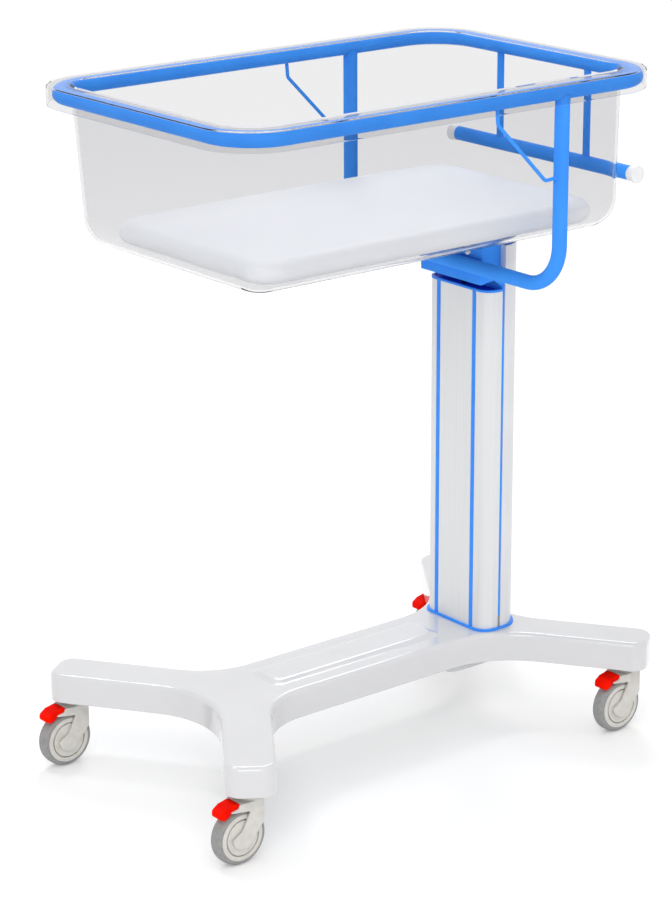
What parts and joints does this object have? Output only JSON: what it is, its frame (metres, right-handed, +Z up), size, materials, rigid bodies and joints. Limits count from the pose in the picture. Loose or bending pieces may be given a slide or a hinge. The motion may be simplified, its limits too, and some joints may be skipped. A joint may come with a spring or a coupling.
{
  "type": "hospital bassinet",
  "caption": "Height-adjustable hospital bassinet: clear removable tray with mattress in a tube cradle on a column, splayed base and braked swivel casters.",
  "frame": {"origin": "centre of the overall outline in plan, at floor level", "axes": "+Z up; +X from the foot end towards the column and push handle end; Y across the bassinet"},
  "size_m": [0.848, 0.5182, 1.0495],
  "materials": {
    "base_white": "glossy moulded",
    "zinc_steel": "zinc plated",
    "ballast_paint": "light grey paint on cast iron",
    "blue_moulding": "satin moulded",
    "anodised_aluminium": "satin anodised",
    "black_plastic": "moulded",
    "mast_white": "powder coated",
    "nitrided_rod": "black nitrided",
    "blue_coated_steel": "gloss powder coat",
    "ivory_bolt": "capped bolt heads",
    "cap_white": "moulded",
    "clear_plastic": "clear thermoformed acrylic",
    "mattress_cover": "wipe-clean coated cover",
    "caster_ivory": "satin moulded",
    "tyre_grey": "non-marking grey rubber",
    "pedal_red": "moulded"
  },
  "bodies": {
    "base": {"base_shell": "base_white", "base_chassis": "zinc_steel", "ballast_block": "ballast_paint", "caster_stems": "zinc_steel", "swivel_washers": "zinc_steel", "column_gasket": "blue_moulding", "column_front": "anodised_aluminium", "column_strips": "blue_moulding", "column_rim": "blue_moulding", "slot_packer": "black_plastic", "rear_mast": "mast_white", "gas_spring_cylinder": "black_plastic"},
    "cradle_lift": {"gas_spring_rod": "nitrided_rod", "lift_plate": "blue_coated_steel", "glide_pads": "black_plastic", "head_block": "blue_coated_steel", "head_bolts": "ivory_bolt", "top_plate": "blue_coated_steel", "tube_saddle": "blue_coated_steel", "u_frame": "blue_coated_steel", "rim_ring": "blue_coated_steel", "wire_braces": "blue_coated_steel", "hanger_rods": "blue_coated_steel", "handle_bar": "blue_coated_steel", "handle_caps": "cap_white"},
    "tray": {"clear_tray": "clear_plastic"},
    "mattress_pad": {"mattress": "mattress_cover"},
    "caster_foot_near": {"fork_foot_near": "caster_ivory", "axle_foot_near": "zinc_steel"},
    "wheel_foot_near": {"hub_foot_near": "caster_ivory", "tyre_foot_near": "tyre_grey"},
    "brake_foot_near": {"pedal_foot_near": "pedal_red"},
    "caster_foot_far": {"fork_foot_far": "caster_ivory", "axle_foot_far": "zinc_steel"},
    "wheel_foot_far": {"hub_foot_far": "caster_ivory", "tyre_foot_far": "tyre_grey"},
    "brake_foot_far": {"pedal_foot_far": "pedal_red"},
    "caster_head_near": {"fork_head_near": "caster_ivory", "axle_head_near": "zinc_steel"},
    "wheel_head_near": {"hub_head_near": "caster_ivory", "tyre_head_near": "tyre_grey"},
    "brake_head_near": {"pedal_head_near": "pedal_red"},
    "caster_head_far": {"fork_head_far": "caster_ivory", "axle_head_far": "zinc_steel"},
    "wheel_head_far": {"hub_head_far": "caster_ivory", "tyre_head_far": "tyre_grey"},
    "brake_head_far": {"pedal_head_far": "pedal_red"}
  },
  "joints": [
    {"name": "column_lift", "type": "slide", "parent": "base", "child": "cradle_lift", "axis": [0, 0, 1], "range_m": [0, 0.2]},
    {"name": "tray_lift_off", "type": "slide", "parent": "cradle_lift", "child": "tray", "axis": [0, 0, 1], "range_m": [0, 0.26]},
    {"name": "mattress_lift_off", "type": "slide", "parent": "tray", "child": "mattress_pad", "axis": [0, 0, 1], "range_m": [0, 0.26]},
    {"name": "swivel_foot_near", "type": "hinge", "parent": "base", "child": "caster_foot_near", "pos_m": [-0.35821, -0.22, 0.103], "axis": [0, 0, 1], "continuous": true},
    {"name": "spin_foot_near", "type": "hinge", "parent": "caster_foot_near", "child": "wheel_foot_near", "pos_m": [-0.38151, -0.22, 0.0425], "axis": [0, 1, 0], "continuous": true},
    {"name": "press_foot_near", "type": "hinge", "parent": "caster_foot_near", "child": "brake_foot_near", "pos_m": [-0.39121, -0.22, 0.0884], "axis": [0, -1, 0], "range_deg": [0, 8]},
    {"name": "swivel_foot_far", "type": "hinge", "parent": "base", "child": "caster_foot_far", "pos_m": [-0.35821, 0.22, 0.103], "axis": [0, 0, 1], "continuous": true},
    {"name": "spin_foot_far", "type": "hinge", "parent": "caster_foot_far", "child": "wheel_foot_far", "pos_m": [-0.38151, 0.22, 0.0425], "axis": [0, 1, 0], "continuous": true},
    {"name": "press_foot_far", "type": "hinge", "parent": "caster_foot_far", "child": "brake_foot_far", "pos_m": [-0.39121, 0.22, 0.0884], "axis": [0, -1, 0], "range_deg": [0, 8]},
    {"name": "swivel_head_near", "type": "hinge", "parent": "base", "child": "caster_head_near", "pos_m": [0.38379, -0.22, 0.103], "axis": [0, 0, 1], "continuous": true},
    {"name": "spin_head_near", "type": "hinge", "parent": "caster_head_near", "child": "wheel_head_near", "pos_m": [0.36049, -0.22, 0.0425], "axis": [0, 1, 0], "continuous": true},
    {"name": "press_head_near", "type": "hinge", "parent": "caster_head_near", "child": "brake_head_near", "pos_m": [0.35079, -0.22, 0.0884], "axis": [0, -1, 0], "range_deg": [0, 8]},
    {"name": "swivel_head_far", "type": "hinge", "parent": "base", "child": "caster_head_far", "pos_m": [0.38379, 0.22, 0.103], "axis": [0, 0, 1], "continuous": true},
    {"name": "spin_head_far", "type": "hinge", "parent": "caster_head_far", "child": "wheel_head_far", "pos_m": [0.36049, 0.22, 0.0425], "axis": [0, 1, 0], "continuous": true},
    {"name": "press_head_far", "type": "hinge", "parent": "caster_head_far", "child": "brake_head_far", "pos_m": [0.35079, 0.22, 0.0884], "axis": [0, -1, 0], "range_deg": [0, 8]}
  ]
}
